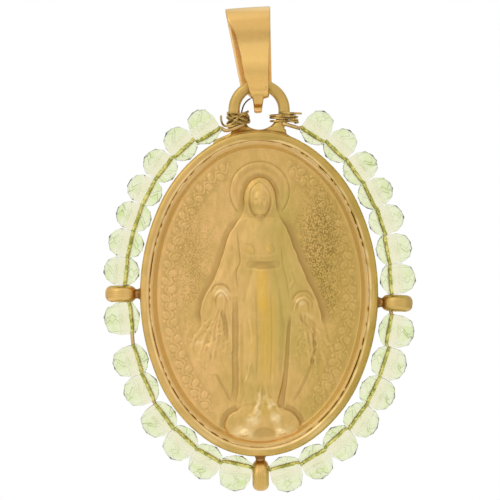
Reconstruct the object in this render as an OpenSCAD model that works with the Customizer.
// Religious pendant: an oval relief medal in a polished band, ringed by faceted
// glass beads on a wire, hanging from a folded bail.
// The pendant hangs. +Z is up, the front of the medal faces -Y, and the origin is
// where the chain lies in the bail, above the middle of the medal.
// Shapes of the medal are drawn flat, as [across, up], with height towards the
// viewer, and hang_up() stands them in the XZ plane.

/* [Band] */
// Width of the oval band across its outer edge
band_w = 25.06; // [25:0.02:25.4]
// Height of the oval band across its outer edge
band_h = 34.2; // [34.1:0.1:34.5]
// Width of the band's rounded face
band_face = 1.0; // [0.9:0.05:1.1]
// Depth of the band from front to back
band_depth = 2.6; // [2.4:0.1:3]
// Radius of the oval's four shoulders
shoulder_r = 15; // [14.6:0.1:15.4]

/* [Loop and rings] */
// Radius of the top loop at the middle of its wire
loop_r = 2.64; // [2.56:0.02:2.7]
// Thickness of the loop's wire
loop_wire = 1.15; // [1.1:0.05:1.2]
// Outer diameter of the three soldered rings
ring_d = 3.3; // [3:0.1:3.5]
// Thickness of the three rings along their bore
ring_t = 1.75; // [1.5:0.05:1.9]
// Diameter of the rings' bore
ring_bore = 1.4; // [1.2:0.05:1.5]
// Distance from the band to the middle of each ring
ring_reach = 2.04; // [2:0.02:2.2]
// Height of the right ring under the middle of the medal
right_ring_drop = 0.9; // [0.7:0.1:1.2]

/* [Medal] */
// Thickness of the medal behind its field
field_t = 0.8; // [0.7:0.05:0.9]
// Height of the rim over the field
rim_rise = 0.5; // [0.3:0.05:0.6]
// Height of the border ornament over the field
ornament_rise = 0.16; // [0.1:0.02:0.25]
// Scale of the figure's relief
relief_scale = 1; // [0.6:0.05:1.2]

/* [Beads] */
// Diameter of a bead over its waist
bead_d = 3.9; // [3.6:0.05:3.95]
// Length of the beads above the side rings
upper_bead_len = 2.75; // [2.4:0.05:2.75]
// Length of the beads below the side rings
lower_bead_len = 2.95; // [2.6:0.05:2.95]
// Diameter of a bead's flat ends
bead_end_d = 2.2; // [2:0.05:2.2]
// Diameter of the bore through a bead
bead_bore = 1.4; // [1.36:0.02:1.6]
// Facets round a bead
bead_facets = 10; // [8:1:10]

/* [Wire] */
// Thickness of the beading wire
wire_d = 0.4; // [0.3:0.02:0.4]
// Distance from a bead's middle to the wire, towards the medal
wire_lie = 0.4; // [0.3:0.01:0.42]
// Turns of wire round each leg of the loop
wrap_turns = 3; // [2:1:3]

/* [Bail] */
// Width of the bail at its top
bail_top_w = 4.8; // [4.4:0.1:5.2]
// Depth of the bail at its top, from front to back
bail_depth = 4.0; // [3.8:0.1:4.4]
// Thickness of the bail's strip
bail_t = 0.45; // [0.4:0.01:0.5]
// Height of the tunnel for the chain above the loop's wire
tunnel_rise = 6.27; // [6:0.05:6.6]
// Lean of the bail to the left
bail_lean = 3.8; // [0:0.2:5]
// Length of the tongue under the loop's wire
tongue_len = 2.95; // [2.8:0.05:3]

/* [Hidden] */
$fn = 48;

// The oval is eight arcs that meet smoothly. Each has its middle on a line at one
// of the turns below, and turn is the direction of the oval's outward normal.
side_turn = 25;
end_turn = 54;
function oval_determinant() =
    (cos(side_turn) - 1) * (1 - sin(end_turn)) + cos(end_turn) * sin(side_turn);
across_sum = -band_w / 2 + shoulder_r * (cos(side_turn) - cos(end_turn));
up_sum = band_h / 2 + shoulder_r * (sin(side_turn) - sin(end_turn));
side_r = (across_sum * (1 - sin(end_turn)) + cos(end_turn) * up_sum) / oval_determinant();
end_r = ((cos(side_turn) - 1) * up_sum - sin(side_turn) * across_sum) / oval_determinant();
side_middle = [band_w / 2 - side_r, 0];
shoulder_middle = side_middle + (side_r - shoulder_r) * [cos(side_turn), sin(side_turn)];
end_middle = [0, band_h / 2 - end_r];

function sign_of(v) = v < 0 ? -1 : 1;
function along(turn) = [-sin(turn), cos(turn)];
// Point of the oval where its normal has the given turn, moved inwards by inset
function oval(turn, inset = 0) =
    let (q = acos(min(1, abs(cos(turn)))),
         middle = q < side_turn ? side_middle : q < end_turn ? shoulder_middle : end_middle,
         r = (q < side_turn ? side_r : q < end_turn ? shoulder_r : end_r) - inset)
    [sign_of(cos(turn)) * (middle[0] + r * cos(q)), sign_of(sin(turn)) * (middle[1] + r * sin(q))];

// Lengths of a quarter's three arcs, and the turn at a distance along the quarter
side_len = side_r * side_turn * PI / 180;
shoulder_len = shoulder_r * (end_turn - side_turn) * PI / 180;
quarter_len = side_len + shoulder_len + end_r * (90 - end_turn) * PI / 180;
function quarter_turn(s) =
    s < side_len ? s / side_r * 180 / PI
    : s < side_len + shoulder_len ? side_turn + (s - side_len) / shoulder_r * 180 / PI
    : end_turn + (s - side_len - shoulder_len) / end_r * 180 / PI;
// Turn of point k of count points spaced evenly round the oval
function even_turn(k, count) =
    let (t = 4 * ((k + count) % count) / count, quarter = floor(t), f = t - quarter)
    quarter % 2 == 0 ? 90 * quarter + quarter_turn(f * quarter_len)
    : 90 * quarter + 90 - quarter_turn((1 - f) * quarter_len);

loop_up = band_h / 2 + loop_r - 0.385;
pivot_up = loop_up + loop_r;
medal_z = -(pivot_up + tunnel_rise / cos(bail_lean));
leg_x = 2.1;
ring_mid_r = ring_d / 2 - ring_t / 2;
bottom_ring_turn = 270.8;
right_ring_turn = -asin(right_ring_drop / side_r);
// Turn of each soldered ring's neck
RING_TURNS = [180, bottom_ring_turn, 360 + right_ring_turn];

gap = 0.05;
medal_inset = band_face + gap;
field_up = 0.1;
back_up = field_up - field_t;
ledge_w = 0.45;
ledge_t = 0.3;

// Turn of the oval at a distance along its edge from the top, down the left side
function left_turn(s) =
    s < quarter_len ? 180 - quarter_turn(quarter_len - s) : 180 + quarter_turn(s - quarter_len);

// The beads in stringing order, from the left leg of the loop round to the right.
// Columns: side, distance out from the band, length of a bead, and the distance
// along the band's edge from its top to each bead
STRINGS = [
    [-1, 2.08, upper_bead_len, [5.05, 7.65, 10.4, 13.1, 15.8, 18.5, 21.2]],
    [-1, 2.06, lower_bead_len, [25.8, 30.0, 32.95, 36.2, 39.15, 41.95, 44.75]],
    [1, 2.25, lower_bead_len, [44.45, 41.7, 38.95, 36.1, 33.2, 30.15, 27.0]],
    [1, 2.14, upper_bead_len, [21.95, 19.05, 16.15, 13.4, 10.7, 7.9, 5.3]]];
// Columns: turn of the band beside the bead, distance out, length
BEADS = [for (row = STRINGS, s = row[3])
    [row[0] < 0 ? left_turn(s) : 540 - left_turn(s), row[1], row[2]]];
quarter_beads = 7;
function bead_name(k) = str("bead_", k < 9 ? "0" : "", k + 1);

// The veiled figure's outline, from the hood down to the hem of its mantle.
// Columns: up, left edge, right edge, height over the field
MANTLE = [
    [12.6, -0.3, 0.4, 0.2], [12.2, -1.1, 1.2, 0.35], [11.2, -1.85, 1.9, 0.45], [9.2, -2.0, 2.0, 0.5],
    [8.1, -2.3, 2.9, 0.45], [7.4, -2.9, 3.5, 0.5], [5.6, -3.5, 4.0, 0.5], [3.3, -4.3, 4.9, 0.5],
    [0.9, -5.7, 5.9, 0.5], [-1.2, -6.4, 6.6, 0.45], [-3.6, -7.0, 7.2, 0.35], [-5.6, -7.0, 7.3, 0.3],
    [-7.6, -6.2, 6.4, 0.25], [-8.8, -4.6, 5.5, 0.25], [-11.0, -2.9, 3.9, 0.25], [-12.2, -2.6, 3.2, 0.25]];
// The gown inside the mantle. Columns: up, left edge, right edge, height over the field
GOWN = [
    [8.4, -1.4, 1.6, 0.3], [6.0, -2.0, 2.6, 0.75], [4.6, -2.2, 2.7, 0.85], [3.0, -1.9, 2.3, 0.65],
    [0.0, -2.1, 2.6, 0.8], [-6.0, -2.3, 2.8, 0.8], [-11.0, -2.0, 2.4, 0.7], [-13.2, -1.7, 2.7, 0.6],
    [-13.8, -1.2, 2.2, 0.3]];
// Round forms that stand on the figure. Columns: across, up, half width, half height, height
DOMES = [
    [0.05, 10.1, 1.2, 1.95, 0.95], [0.05, 11.3, 1.7, 1.3, 0.75], [-4.0, -1.1, 0.95, 1.3, 0.85],
    [4.7, -1.7, 0.95, 1.3, 0.85], [-1.5, -14.5, 0.8, 0.5, 0.75], [2.5, -14.6, 0.8, 0.5, 0.75],
    [0.6, -15.2, 4.0, 3.2, 0.5]];
halo_middle = [0.05, 10.75];
halo_r = 3.1;

function column(table, i) = [for (row = table) [row[0], row[i]]];
MANTLE_COLUMNS = [for (i = [1 : 3]) column(MANTLE, i)];
GOWN_COLUMNS = [for (i = [1 : 3]) column(GOWN, i)];
// 0 at an edge, rising in a quarter round to 1 at the given width inside it
function rise(d, width) = d <= 0 ? 0 : d >= width ? 1 : sin(90 * d / width);
function bump(d, width) = abs(d) >= width ? 0 : (1 + cos(180 * d / width)) / 2;
function form(p, columns, top, bottom, width) =
    p[1] > top || p[1] < bottom ? 0
    : let (left = lookup(p[1], columns[0]), right = lookup(p[1], columns[1]))
      lookup(p[1], columns[2]) * rise(min(p[0] - left, right - p[0]), width);
function dome(p, row) =
    let (d = pow((p[0] - row[0]) / row[2], 2) + pow((p[1] - row[1]) / row[3], 2))
    d >= 1 ? 0 : row[4] * sqrt(1 - d);
// Folds of the gown and the sunk lines between the gown and the mantle
gown_fold = 1.15;
function folds(p) =
    p[1] > 2.6 || p[1] < -13 || p[0] < -2.2 || p[0] > 2.7 ? 0 : 0.07 * cos(360 * p[0] / gown_fold);
function relief(p) =
    relief_scale * max(
        0.1 * bump(norm(p - halo_middle) - halo_r, 0.35),
        form(p, MANTLE_COLUMNS, 12.6, -12.2, 0.7),
        form(p, GOWN_COLUMNS, 8.4, -13.8, 0.9) + folds(p),
        max([for (row = DOMES) dome(p, row)]));

// The medal's rings from its back edge to the ornament. Columns: inset from the oval, height
EDGE = [
    [medal_inset, back_up], [medal_inset, field_up + rim_rise - 0.1], [medal_inset + 0.1, field_up + rim_rise],
    [1.38, field_up + rim_rise], [1.62, field_up + rim_rise * 0.4], [1.88, field_up]];
ORNAMENT_INSETS = [2.3, 2.65, 3.0, 3.35, 3.75];
// Columns of raised petals in the ornament, four points of the mesh to each
around = 160;
function petal(k, inset) =
    ornament_rise * (k % 4 == 0 ? 1 : k % 2 == 0 ? 0.2 : 0.45) * bump(inset - 3.0, 0.75);
grid_across = 34;
grid_up = around / 2 - grid_across;

module hang_up() translate([0, 0, medal_z]) rotate([90, 0, 0]) children();
// Places children in the medal's plane at a turn of the oval, their Z along the oval
module beside(turn, out) {
    at = oval(turn, -out);
    translate([at[0], 0, medal_z + at[1]]) rotate([0, -turn, 0]) children();
}

// Section of the band, a rounded bar with the ledge that the medal rests on, as
// [inset from the oval, height]
band_points = 96;
function round_end(side, from, to) =
    [for (i = [0 : 4])
        let (t = from + (to - from) * i / 4)
        [band_face / 2 * (1 - cos(t)), side * (band_depth / 2 - band_face / 2 * (1 - sin(t)))]];
BAND_SECTION = concat(
    round_end(1, 0, 180),
    [[band_face, back_up - gap], [band_face + ledge_w, back_up - gap],
     [band_face + ledge_w, back_up - gap - ledge_t], [band_face * 0.96, back_up - gap - ledge_t]],
    round_end(-1, 144, 0));
module band() {
    n = len(BAND_SECTION);
    polyhedron(
        points = [for (k = [0 : band_points - 1], row = BAND_SECTION)
            let (p = oval(even_turn(k, band_points), row[0])) [p[0], p[1], row[1]]],
        faces = [for (k = [0 : band_points - 1], i = [0 : n - 1], half = [0, 1])
            let (a = k * n + i, b = k * n + (i + 1) % n, next = (k + 1) % band_points * n,
                 c = next + i, d = next + (i + 1) % n)
            half == 0 ? [a, b, c] : [c, b, d]]);
}

module loop() {
    translate([0, loop_up, 0]) rotate_extrude() translate([loop_r, 0]) circle(r = loop_wire / 2);
    foot_up = band_h / 2 - 0.8;
    for (side = [-1, 1]) translate([side * leg_x, foot_up, 0]) rotate([-90, 0, 0]) {
        cylinder(r = loop_wire / 2 - 0.025, h = loop_up - 1.62 - foot_up);
        cylinder(r1 = 0.88, r2 = 0.5, h = 1.15);
    }
}

// A soldered ring with its bore along Z, and the neck to the band along -X
module eyelet() {
    rotate_extrude() polygon(concat(
        [[ring_bore / 2, -ring_t / 2]],
        [for (t = [-90 : 15 : 90]) [ring_mid_r + ring_t / 2 * cos(t), ring_t / 2 * sin(t)]],
        [[ring_bore / 2, ring_t / 2]]));
    neck_from = ring_bore / 2 + 0.4;
    translate([-ring_reach - 0.35, 0, 0]) rotate([0, 90, 0]) {
        cylinder(d = 0.95, h = ring_reach + 0.35 - neck_from);
        cylinder(r1 = 0.76, r2 = 0.45, h = 0.75);
    }
}

module frame() color("#c9a24f") {
    hang_up() {
        band();
        loop();
    }
    for (turn = RING_TURNS) beside(turn, ring_reach) eyelet();
}

// The medal is one mesh: even rings round its edge, then a grid over its middle
function ring_point(k, row) = let (p = oval(even_turn(k, around), row[0])) [p[0], p[1], row[1]];
function ornament_point(k, inset) =
    let (p = oval(even_turn(k, around), inset))
    [p[0], p[1], field_up + max(relief(p), p[1] < -11.5 && abs(p[0]) < 5.5 ? 0 : petal(k, inset))];
// Place of a grid point in the last ring, or -1 inside the grid
function rim_place(i, j) =
    i == grid_across ? (j - grid_up / 2 + around) % around
    : j == grid_up ? grid_up / 2 + grid_across - i
    : i == 0 ? grid_up / 2 + grid_across + grid_up - j
    : j == 0 ? grid_up / 2 + grid_across + grid_up + i : -1;
function inner_edge(i, j) = oval(even_turn(rim_place(i, j), around), ORNAMENT_INSETS[len(ORNAMENT_INSETS) - 1]);
// Point of the grid, blended from the four sides of the ring around it
function grid_point(i, j) =
    let (u = i / grid_across, v = j / grid_up, m = grid_across, n = grid_up,
         p = (1 - v) * inner_edge(i, 0) + v * inner_edge(i, n) + (1 - u) * inner_edge(0, j)
             + u * inner_edge(m, j) - (1 - u) * (1 - v) * inner_edge(0, 0) - u * (1 - v) * inner_edge(m, 0)
             - (1 - u) * v * inner_edge(0, n) - u * v * inner_edge(m, n))
    [p[0], p[1], field_up + relief(p)];
rings = len(EDGE) + len(ORNAMENT_INSETS);
function grid_index(i, j) =
    rim_place(i, j) >= 0 ? (rings - 1) * around + rim_place(i, j)
    : rings * around + (i - 1) + (j - 1) * (grid_across - 1);

module medal() color("#cfa75f") hang_up() polyhedron(
    points = concat(
        [for (row = EDGE, k = [0 : around - 1]) ring_point(k, row)],
        [for (inset = ORNAMENT_INSETS, k = [0 : around - 1]) ornament_point(k, inset)],
        [for (j = [1 : grid_up - 1], i = [1 : grid_across - 1]) grid_point(i, j)]),
    faces = concat(
        [[for (k = [0 : around - 1]) k]],
        [for (r = [0 : rings - 2], k = [0 : around - 1], half = [0, 1])
            let (a = r * around + k, b = r * around + (k + 1) % around)
            half == 0 ? [a, a + around, b] : [b, a + around, b + around]],
        [for (j = [0 : grid_up - 1], i = [0 : grid_across - 1], half = [0, 1])
            half == 0 ? [grid_index(i, j), grid_index(i, j + 1), grid_index(i + 1, j)]
            : [grid_index(i + 1, j), grid_index(i, j + 1), grid_index(i + 1, j + 1)]]));

// A drilled rondelle with its bore along Z: rings of corners from the bore's top
// over the flat ends and the waist, each turned half a facet against the last
waist_up = 0.32;
module rondelle(len) {
    n = bead_facets;
    // Columns: radius, height, turn in half facets
    rows = [
        [bead_bore / 2, len / 2, 0], [bead_end_d / 2, len / 2, 0], [bead_d / 2, waist_up, 1],
        [bead_d / 2, -waist_up, 2], [bead_end_d / 2, -len / 2, 3], [bead_bore / 2, -len / 2, 3]];
    polyhedron(
        points = [for (row = rows, i = [0 : n - 1])
            let (t = 180 * (2 * i + row[2]) / n) [row[0] * cos(t), row[0] * sin(t), row[1]]],
        faces = concat(
            [for (r = [0 : len(rows) - 2], i = [0 : n - 1], half = [0, 1])
                let (a = r * n + i, b = r * n + (i + 1) % n)
                half == 0 ? [a, b, a + n] : [b, b + n, a + n]],
            [for (i = [0 : n - 1], half = [0, 1])
                let (a = 5 * n + i, b = 5 * n + (i + 1) % n, top = (i + 2) % n)
                half == 0 ? [a, b, top] : [b, (i + 3) % n, top]]));
}
module bead(k) color("#dfe9bd") beside(BEADS[k][0], BEADS[k][1]) rondelle(BEADS[k][2]);

// Route of the wire as [across, up, height]: through each bead and ring, near the
// side of the bore that faces the medal
function stretch(turn, out, half) =
    [for (end = [-half, half]) let (p = oval(turn, -out) + end * along(turn)) [p[0], p[1], 0]];
function bead_stretch(k) = stretch(BEADS[k][0], BEADS[k][1] - wire_lie, BEADS[k][2] / 2);
function ring_stretch(k) = stretch(RING_TURNS[k], ring_reach - 0.3, ring_t / 2);
function string_stretch(q) =
    [for (k = [q * quarter_beads : (q + 1) * quarter_beads - 1]) each bead_stretch(k)];
// Loose turns round one leg of the loop, from the bead's wire upwards
wrap_steps = 10;
wrap_pitch = 0.46;
function wrap(side, reach, across, from_up) =
    [for (i = [0 : wrap_turns * wrap_steps])
        let (t = 360 * i / wrap_steps)
        [side * (across + reach * cos(t)), from_up + wrap_pitch * i / wrap_steps, 0.88 * sin(t)]];
left_wrap = wrap(-1, 1.22, 2.35, 17.85);
right_wrap = wrap(1, 1.42, 2.62, 17.95);
function backwards(list) = [for (i = [len(list) - 1 : -1 : 0]) list[i]];
ROUTE = concat(
    backwards(left_wrap),
    [for (q = [0 : 2]) each concat(string_stretch(q), ring_stretch(q))],
    string_stretch(3),
    right_wrap);

wire_sides = 6;
function unit(v) = v / norm(v);
function tangent(i) = unit(ROUTE[min(i + 1, len(ROUTE) - 1)] - ROUTE[max(i - 1, 0)]);
function carried(side, t) = unit(side - (side * t) * t);
// One side direction for each point, carried along the route without twisting
side_directions = [
    for (i = 0, s = carried([0, 1, 0.3], tangent(0)); i < len(ROUTE);
         i = i + 1, s = carried(s, tangent(min(i, len(ROUTE) - 1)))) s];
module wire() color("#b9973f") hang_up() {
    last = (len(ROUTE) - 1) * wire_sides;
    polyhedron(
        points = [for (i = [0 : len(ROUTE) - 1]) let (s = side_directions[i], c = cross(tangent(i), s))
            for (k = [0 : wire_sides - 1]) let (t = 360 * k / wire_sides)
                ROUTE[i] + wire_d / 2 * (cos(t) * s + sin(t) * c)],
        faces = concat(
            [[for (k = [0 : wire_sides - 1]) k]],
            [[for (k = [wire_sides - 1 : -1 : 0]) last + k]],
            [for (i = [0 : len(ROUTE) - 2], k = [0 : wire_sides - 1], half = [0, 1])
                let (a = i * wire_sides + k, b = i * wire_sides + (k + 1) % wire_sides)
                half == 0 ? [a, a + wire_sides, b] : [b, a + wire_sides, b + wire_sides]]));
}

// The bail is drawn about the loop's top wire: a strip bent round the chain's
// tunnel and the loop's wire, seen from the side, then cut to its front outlines
top_mid_r = (bail_depth - bail_t) / 2;
foot_mid_r = 1.375;
foot_drop = 0.12;
bend_gap = tunnel_rise + foot_drop;
leaf_turn = asin((top_mid_r - foot_mid_r) / bend_gap);
leaf_len = sqrt(bend_gap * bend_gap - pow(top_mid_r - foot_mid_r, 2));
tongue_t = 0.7;
roll_r = 0.5;
strip_w = 7;
module strip_bend(r, from, sweep) rotate([0, 0, from]) rotate_extrude(angle = sweep)
    translate([r - bail_t / 2, -strip_w / 2]) square([bail_t, strip_w]);
module bail_strip() rotate([90, 0, 90]) {
    translate([0, tunnel_rise, 0]) strip_bend(top_mid_r, -leaf_turn, 180 + 2 * leaf_turn);
    translate([0, -foot_drop, 0]) {
        strip_bend(foot_mid_r, 180 + leaf_turn, 180 - 2 * leaf_turn);
        for (side = [0, 1]) mirror([side, 0, 0]) rotate([0, 0, -leaf_turn])
            translate([foot_mid_r - bail_t / 2, 0, -strip_w / 2]) cube([bail_t, leaf_len, strip_w]);
    }
    translate([-tongue_t / 2, roll_r - tongue_len, -strip_w / 2])
        cube([tongue_t, tongue_len - roll_r - foot_mid_r - foot_drop, strip_w]);
    translate([0, roll_r - tongue_len, -strip_w / 2]) cylinder(r = roll_r, h = strip_w);
}
// Corners of the leaves from the front, as [across, up] from the loop's wire
leaf_top = tunnel_rise + bail_depth / 2;
leaf_shift = -0.67;
top_left = [leaf_shift - bail_top_w / 2, leaf_top];
top_right = [leaf_shift + bail_top_w / 2, leaf_top];
foot_left = [-0.95, -1.15];
foot_right = [0.97, -1.15];
back_left = [-1.98, 0.15];
back_right = [1.36, 0.15];
tongue_left = [-0.78, -1.27];
tongue_right = [0.38, -1.27];
tip_left = [-0.7, -tongue_len - 0.2];
tip_right = [0.08, -tongue_len - 0.2];
module from_front(depth_from, depth) rotate([90, 0, 0]) translate([0, 0, depth_from])
    linear_extrude(depth) children();
module bail() color("#d2a955")
    translate([0, 0, medal_z + pivot_up]) rotate([0, -bail_lean, 0]) difference() {
        intersection() {
            bail_strip();
            from_front(-bail_depth, 2 * bail_depth) polygon([
                top_left, top_left + [0, 1], top_right + [0, 1], top_right, back_right, foot_right,
                tongue_right, tip_right, tip_left, tongue_left, foot_left, back_left]);
        }
        // The front leaf is narrower than the back one
        from_front(0, bail_depth) polygon([top_left, foot_left, back_left - [1, 0]]);
        from_front(0, bail_depth) polygon([top_right, back_right + [1, 0], foot_right]);
    }

frame();
medal();
bail();
wire();
for (k = [0 : len(BEADS) - 1])
    bead(k);
